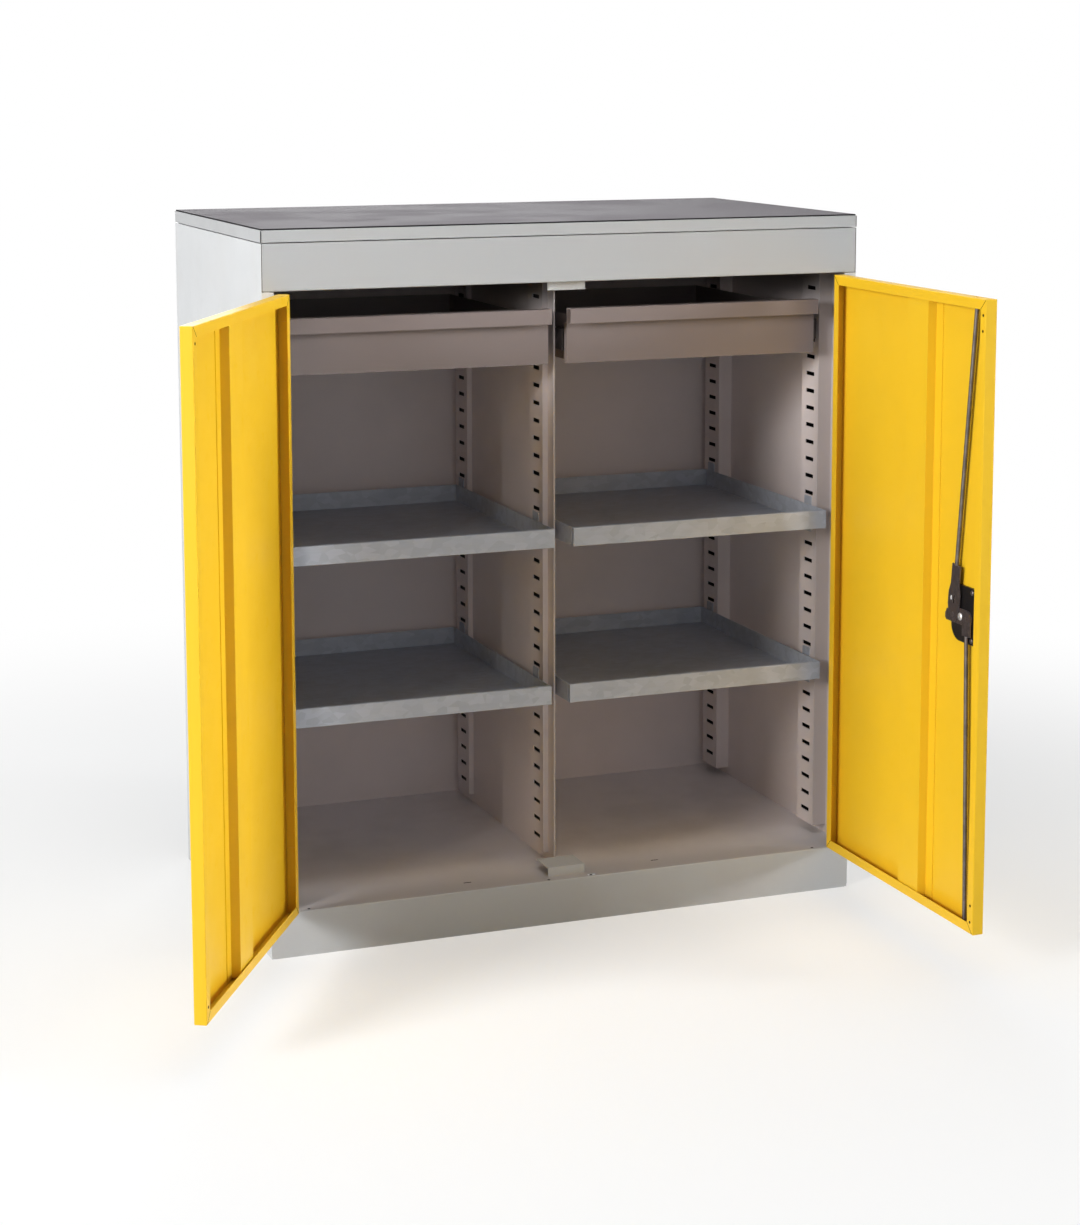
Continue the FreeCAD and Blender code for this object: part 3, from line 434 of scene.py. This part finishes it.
def slot_outline(length, wide, steps=6):
    """A slot with round ends, as points."""
    points = []
    for end, start in ((1, -90), (-1, 90)):
        for step in range(steps + 1):
            turn = math.radians(start + 180 * step / steps)
            points.append((end * (length - wide) / 2 + wide / 2 * math.cos(turn), wide / 2 * math.sin(turn)))
    return points


def facing(form, place, axis):
    """Puts a form drawn along +Z at a place, facing along an axis."""
    turn = Vector((0, 0, 1)).rotation_difference(Vector(axis)).to_matrix().to_4x4()
    form.transform(Matrix.Translation(Vector(place)) @ turn)
    return form


def moved(form, place):
    form.transform(Matrix.Translation(place))
    return form


def joined(forms):
    """Several forms as one."""
    whole = bmesh.new()
    for form in forms:
        mesh = bpy.data.meshes.new("part")
        form.to_mesh(mesh)
        form.free()
        whole.from_mesh(mesh)
        bpy.data.meshes.remove(mesh)
    return whole


# The worktop's mat


def ribbed_mat():
    """A sheet with fine ribs that run from front to back."""
    low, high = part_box("rubber_mat")
    rib, groove, lean, web = mm(1.9, 0.8, 0.25, 0.9)
    foot = rib + 2 * lean
    pitch = foot + groove
    count = int((high.x - low.x - foot) / pitch)
    start = (low.x + high.x - count * pitch - foot) / 2
    floor = low.z + web
    line = [(low.x, low.z), (low.x, floor)]
    for index in range(count + 1):
        x = start + index * pitch
        line += [(x, floor), (x + lean, high.z), (x + lean + rib, high.z), (x + foot, floor)]
    line += [(high.x, floor), (high.x, low.z)]
    form = lofted([[(x, y, z) for x, z in line] for y in (low.y, high.y)])
    made = piece("ribbed_mat", form, RUBBER, "carcass")
    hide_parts("rubber_mat")


def mat_edge_shade():
    """Painted shade: a near-black frame around the mat, just under its ribs' tops, for its shaded edge."""
    low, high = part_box("rubber_mat")
    wide, under = mm(2.4, 0.05)
    form = frame_strip(low, high, wide, low.z, high.z - under)
    piece("mat_edge_shade", form, MAT_EDGE_SHADE_LOOK, "carcass")


# The lock on the right door, which stands at 90 degrees: its inner side faces -X

INNER, OUTER = (-1, 0, 0), (1, 0, 0)


def lock_screws():
    """Screws of the cam, the lock housing and the outer plate, and painted shade in the link's and the key's slot.
    """
    low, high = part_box("cam_plate")
    middle = (low + high) / 2
    form = facing(screw(*mm(5.2, 2.4, 2.7)), (low.x, middle.y, middle.z), INNER)
    smooth(piece("cam_screw", form, BRIGHT, "lock_rotor"))

    # Painted shade: a dark plate inside the upper link's slot, in front of the cam plate
    corners = ((-606.4, 521.6), (-603.5, 521.9), (-602.2, 510.1), (-605.1, 509.8))
    form = lofted([mm_points(*((x, y, z) for y, z in corners)) for x in (419.5, 419.9)])
    piece("link_slot", form, VOID, "upper_rod")

    low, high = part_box("lock_housing")
    inset = 6 * MM
    heads = [
        facing(screw(*mm(3.6, 1.6, 1.9)), (low.x, low.y + inset, z), INNER)
        for z in (low.z + inset, high.z - inset)
    ]
    smooth(piece("housing_screws", joined(heads), DARK, "right_door"))

    low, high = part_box("handle_plate")
    inset = 12 * MM
    heads = [
        facing(screw(*mm(4, 1.8, 2.1)), (high.x, middle.y, z), OUTER)
        for z in (low.z + inset, high.z - inset)
    ]
    smooth(piece("plate_screws", joined(heads), STEEL, "right_door"))

    # Painted shade: a dark plate for the inside of the keyway
    low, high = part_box("key_barrel")
    length, wide, proud = mm(6, 1.4, 0.12)
    keyway = plate(slot_outline(length, wide), proud)
    keyway.transform(Matrix.Rotation(math.radians(90), 4, "Z"))
    facing(keyway, (high.x, (low.y + high.y) / 2, (low.z + high.z) / 2), OUTER)
    piece("key_slot_shade", keyway, VOID, "lock_rotor")


def lock_trim():
    """A notched lug on the cam's end and a pressed tab beside the slot of the upper link."""
    low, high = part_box("cam_plate")
    thick, sunk = mm(1.3, 0.1)
    outline = mm_points((-3, -11), (9, -11), (12, -8), (12, -1), (9.5, 1), (9.5, 3), (7, 5), (-3, 5))
    x, y, z = low.x + sunk, high.y, (low.z + high.z) / 2
    lug = lofted([[(x + up, y + across, z + tall) for across, tall in outline] for up in (0, thick)])
    piece("cam_lug", lug, DARK, "lock_rotor")

    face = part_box("upper_link")[0].x
    middle_y, middle_z, slant = -597.6, 517.5, 0.11
    outline = ((-1.8, -3.2), (1.2, -3.2), (1.8, -2.2), (1.8, 2.2), (1.2, 3.2), (-1.8, 3.2))
    rings = []
    for proud, grow in ((-0.3, 1.0), (0.5, 0.9), (1.3, 0.55)):
        rings.append([
            (face - proud * MM, (middle_y + grow * y) * MM, (middle_z + grow * z - slant * y) * MM)
            for y, z in outline
        ])
    # The tab is in bright steel, lighter than the dark link it is pressed from: a painted highlight
    piece("link_tab", lofted(rings), BRIGHT, "upper_rod")


def lever():
    """The outer handle: a round hub under a crowned lever that tapers to its tip."""
    low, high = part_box("lock_handle")
    middle = (low.y + high.y) / 2
    barrel_low, barrel_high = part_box("key_barrel")
    height = (barrel_low.z + barrel_high.z) / 2
    face = high.x - 8 * MM
    tall = face - low.x
    wide, narrow, below, above = mm(9.6, 8.8, 1.2, 1)
    hub = turned([(0, 0), (wide, 0), (wide, tall - below), (narrow, tall + above), (0, tall + above)], 40)
    facing(hub, (low.x, middle, height), OUTER)

    # Across and up on a section, as shares of half the width and of the thickness
    section = (
        (-1, 0.0), (-1, 0.55), (-0.86, 0.86), (-0.5, 0.98), (0, 1.0),
        (0.5, 0.98), (0.86, 0.86), (1, 0.55), (1, 0.0), (0, 0.0),
    )
    rounded_length = 0.09
    rings = []
    for share in (0.0, 0.015, 0.05, 0.12, 0.3, 0.55, 0.72, 0.86, 0.94, 0.985, 1.0):
        half_wide = (6.5 + 3.5 * min(share / 0.7, 1.0)) * MM
        thick = (5.6 + 2.4 * min(share / 0.6, 1.0)) * MM
        to_end = min(min(share, 1 - share) / rounded_length, 1.0)
        round_off = math.sqrt(max(0.0, 1 - (1 - to_end) ** 2))
        half_wide *= 0.45 + 0.55 * round_off
        crown = thick * (0.72 + 0.28 * round_off)
        z = low.z + share * (high.z - low.z)
        rings.append([(face + up * crown, middle + across * half_wide, z) for across, up in section])
    form = joined([hub, lofted(rings)])
    made = smooth(piece("lever", form, BLACK, "lock_rotor"), 40)
    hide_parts("lock_handle")


# Details of the doors, which stand open at rest

HINGE_X, HINGE_Y, SKIN = mm(432.5, -254.5, 4.5)
OPEN_BY = {"left": 121, "right": 90}
# Edges of a door pan from its hinge line and from the floor, its lips' width and their depth behind the skin
HINGE_EDGE, FREE_EDGE, LOW_EDGE, HIGH_EDGE = mm(1.5, 431.5, 67.5, 932.5)
LIP, RIM = mm(14, 17)
LIP_HOLES = {"left": (911, 89), "right": (911, 890, 107, 84)}


def on_door(side):
    """From distance to the hinge, depth behind the skin and height, to a place on an open door."""
    turn, hand = math.radians(OPEN_BY[side]), 1 if side == "left" else -1
    along = Vector((hand * math.cos(turn), -math.sin(turn), 0))
    inward = Vector((hand * math.sin(turn), math.cos(turn), 0))
    start = Vector((-hand * HINGE_X, HINGE_Y, 0)) + inward * SKIN
    return lambda reach, deep, height: start + along * reach + inward * deep + Vector((0, 0, height))


def strip_on(place, ends, wide, deep, proud):
    """A thin strip on the plane at a depth behind a door's skin, between two points (reach, height)."""
    (r0, z0), (r1, z1) = ends
    length = math.hypot(r1 - r0, z1 - z0)
    across_r, across_z = (z1 - z0) / length * wide / 2, -(r1 - r0) / length * wide / 2
    corners = ((r0, z0, 1), (r1, z1, 1), (r1, z1, -1), (r0, z0, -1))
    return lofted([
        [place(r + side * across_r, level, z + side * across_z) for r, z, side in corners]
        for level in (deep - proud, deep + proud)
    ])


def door_mitres(place):
    """Seams across the corners of the lips."""
    inset, wide, proud = mm(1.2, 0.7, 0.08)
    seams = []
    for reach, back in ((HINGE_EDGE, 1), (FREE_EDGE, -1)):
        for height, up in ((LOW_EDGE, 1), (HIGH_EDGE, -1)):
            ends = [(reach + back * size, height + up * size) for size in (inset, LIP)]
            seams.append(strip_on(place, ends, wide, RIM, proud))
    return joined(seams)


def door_holes(place, inward, heights):
    """Punched holes in the lip at the free edge, shown as dark discs of painted shade."""
    reach = FREE_EDGE - 7 * MM
    return joined(facing(punched(*mm(2.0, 0.3, 0.1)), place(reach, RIM, height), inward) for height in heights)


def door_welds(place, inward):
    """Rows of spot welds beside the stiffener."""
    dome = mm_points((0, -0.2), (3.2, 0), (2.4, 0.22), (1.6, 0.1), (0, 0.06))
    first, pitch, count, sheet = 45 * MM, 97 * MM, 9, 2 * MM
    welds = []
    for reach in (FREE_EDGE - 224 * MM, FREE_EDGE - 146 * MM):
        for step in range(count):
            spot = place(reach, sheet, LOW_EDGE + first + pitch * step)
            welds.append(facing(turned(dome, 20), spot, inward))
    return joined(welds)


def hinge_plates(place):
    """Backing plates with cut corners, on the inside of the lip at the hinges."""
    wide, tall, cut, sheet = mm(13, 56, 2.5, 2.2)
    outline = (
        (cut, 0), (wide - cut, 0), (wide, cut), (wide, tall - cut),
        (wide - cut, tall), (cut, tall), (0, tall - cut), (0, cut),
    )
    return joined(
        lofted([
            [place(reach, sheet + deep, bottom + up) for deep, up in outline]
            for reach in (HINGE_EDGE + 0.9 * MM, HINGE_EDGE + 1.8 * MM)
        ])
        for bottom in mm(107, 840)
    )


def door_details(side):
    place = on_door(side)
    inward = (place(0, 1, 0) - place(0, 0, 0)).normalized()
    body = f"{side}_door"
    piece(f"{side}_door_mitres", door_mitres(place), VOID, body)
    piece(f"{side}_door_holes", door_holes(place, inward, mm(*LIP_HOLES[side])), VOID, body)
    smooth(piece(f"{side}_door_welds", door_welds(place, inward), YELLOW, body), 50)
    piece(f"{side}_hinge_plates", hinge_plates(place), YELLOW, body)


# Details of the carcass


def upright_seam(x, y, bottom, top, half_wide):
    """A thin dark line that stands on a front face."""
    outline = ((-half_wide, bottom), (half_wide, bottom), (half_wide, top), (-half_wide, top))
    line = plate(outline, 0.12 * MM)
    line.transform(Matrix.Translation((x, y, 0)) @ Matrix.Rotation(math.radians(90), 4, "X"))
    return line


def carcass_details():
    """Seams beside the fascia and at the lid's corners, painted shade in the floor's slots and holes, weld marks.
    """
    fascia_low, fascia_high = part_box("fascia")
    lid_low, lid_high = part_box("worktop_lid")
    fascia_x, fascia_sunk, fascia_half, lid_x, lid_sunk, lid_half, lid_edge = mm(
        448.6, 0.08, 0.45, 449.2, 0.12, 0.5, 0.6)
    seams = []
    for hand in (-1, 1):
        seams.append(upright_seam(
            hand * fascia_x, fascia_low.y + fascia_sunk, fascia_low.z, fascia_high.z, fascia_half))
        seams.append(upright_seam(
            hand * lid_x, lid_low.y + lid_sunk, lid_low.z, lid_high.z - lid_edge, lid_half))
    piece("fascia_seams", joined(seams), VOID, "carcass")

    floor = 65 * MM
    length, wide, thick, sunk = mm(12, 3, 0.9, 1.0)
    marks = [
        moved(plate(slot_outline(length, wide), thick), (x, y, floor - sunk))
        for x, y in mm_points((-147.5, -213), (147.5, -213))
    ]
    marks += [
        moved(punched(*mm(2.2, 0.4, 0.08)), (x, y, floor))
        for x, y in mm_points((-394, -243), (394, -243), (-33, -244), (33, -244))
    ]
    piece("floor_holes", joined(marks), VOID, "carcass")

    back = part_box("back_panel")[1].y
    dome = mm_points((0, -0.2), (3.4, 0), (2.6, 0.3), (1.7, 0.12), (0, 0.06))
    first, pitch, count = 112 * MM, 97 * MM, 9
    spots = [
        facing(turned(dome, 20), (x, back, first + pitch * step), (0, 1, 0))
        for x in mm(-425, 0, 425) for step in range(count)
    ]
    smooth(piece("back_welds", joined(spots), GREY, "carcass"), 50)


ribbed_mat()
mat_edge_shade()
lock_screws()
lock_trim()
lever()
for side in SIDES:
    door_details(side)
carcass_details()


# The studio: a white background, a floor that keeps the shadow, soft lamps and the camera

WHITE = (1, 1, 1, 1)


def white_rays(tree):
    """1 for the rays that see the white background: straight, mirrored or through glass."""
    rays = tree.nodes.new("ShaderNodeLightPath").outputs
    share = rays["Is Camera Ray"]
    for ray in ("Is Glossy Ray", "Is Transmission Ray"):
        either = tree.nodes.new("ShaderNodeMath")
        either.operation = "MAXIMUM"
        tree.links.new(share, either.inputs[0])
        tree.links.new(rays[ray], either.inputs[1])
        share = either.outputs[0]
    return share


def white_world():
    """White where it is seen, a plain grey sky for the light."""
    world = bpy.data.worlds.new("studio")
    scene.world = world
    world.use_nodes = True
    tree = world.node_tree
    sky, white = tree.nodes["Background"], tree.nodes.new("ShaderNodeBackground")
    sky.inputs["Color"].default_value = (0.97, 0.985, 1.0, 1)
    sky.inputs["Strength"].default_value = 0.16
    white.inputs["Color"].default_value = WHITE
    both = tree.nodes.new("ShaderNodeMixShader")
    for source, socket in zip((white_rays(tree), sky.outputs[0], white.outputs[0]), both.inputs):
        tree.links.new(source, socket)
    tree.links.new(both.outputs[0], tree.nodes["World Output"].inputs["Surface"])


def studio_floor():
    """A pale floor that keeps the shadow near the object and turns white away from it."""
    look = Look("studio_floor")
    seen = white_rays(look.tree)
    tone = look.mix(look.noise(1.3), (0.86, 0.86, 0.86), (0.89, 0.89, 0.89))
    tone = look.mix(seen, (0.55, 0.55, 0.55), tone)
    look.tree.links.new(tone, look.surface.inputs["Base Color"])
    look.surface.inputs["Roughness"].default_value = 0.9
    far = look.node("VectorMath", {0: look.place}, operation="LENGTH").outputs["Value"]
    glow = look.times(look.between(far, 0.5, 2.1, 0.4, 1.0), seen)
    white = look.node("Emission", {"Color": WHITE, "Strength": 1.0})
    both = look.node("MixShader", {0: glow, 1: look.surface.outputs[0], 2: white.outputs[0]})
    look.tree.links.new(both.outputs[0], look.tree.nodes["Material Output"].inputs["Surface"])
    form = bmesh.new()
    bmesh.ops.create_grid(form, x_segments=8, y_segments=8, size=9.0)
    floor = as_object("studio_floor", form, look.material)


def softbox(name, place, aim, size, power, colour, spread=180):
    """A rectangular lamp: its size in metres, power in watts and spread in degrees."""
    lamp = bpy.data.lights.new(name, "AREA")
    lamp.shape = "RECTANGLE"
    lamp.size, lamp.size_y = size
    lamp.energy = power
    lamp.spread = math.radians(spread)
    lamp.color = colour
    made = bpy.data.objects.new(name, lamp)
    made.location = place
    made.rotation_euler = (Vector(aim) - Vector(place)).to_track_quat("-Z", "Y").to_euler()
    scene.collection.objects.link(made)


white_world()
studio_floor()
WARM, NEUTRAL, COOL, SKY = (1.0, 1.0, 0.995), (1.0, 1.0, 1.0), (0.98, 0.99, 1.0), (0.97, 0.985, 1.0)
softbox("left", (-4.6, -2.2, 2.0), (0.0, -0.4, 0.5), (1.5, 1.5), 268, WARM)
softbox("right", (3.9, -2.4, 1.6), (-0.62, -0.45, 0.6), (1.5, 1.5), 8.7, WARM, spread=28)
softbox("front", (-0.6, -4.6, 1.3), (0.0, -0.2, 0.5), (3.0, 2.0), 13, NEUTRAL)
softbox("rear", (1.2, 4.6, 2.4), (0.0, 0.2, 0.5), (2.0, 2.0), 70, COOL)
softbox("top", (0.2, -0.6, 3.6), (0.0, -0.1, 0.6), (2.4, 1.8), 37, SKY)

# The camera as solved from the photo's straight edges: lengths in pixels of its 1080 x 1225 frame
FRAME_HIGH, FOCAL_LENGTH, CENTRE_ROW = 1225, 2599.3, 430
DOWN, ROLL, PAN = 8.091, 0.094, -21.035
lens = bpy.data.cameras.new("camera")
lens.sensor_fit = "AUTO"
lens.sensor_width = 36.0
lens.lens = lens.sensor_width * FOCAL_LENGTH / FRAME_HIGH
lens.shift_y = (CENTRE_ROW - FRAME_HIGH / 2) / FRAME_HIGH
camera = bpy.data.objects.new("camera", lens)
camera.location = (-1.3522, -3.6439, 1.2435)
camera.rotation_euler = [math.radians(angle) for angle in (90 - DOWN, ROLL, PAN)]
scene.collection.objects.link(camera)
scene.camera = camera
scene.view_settings.view_transform = "Standard"
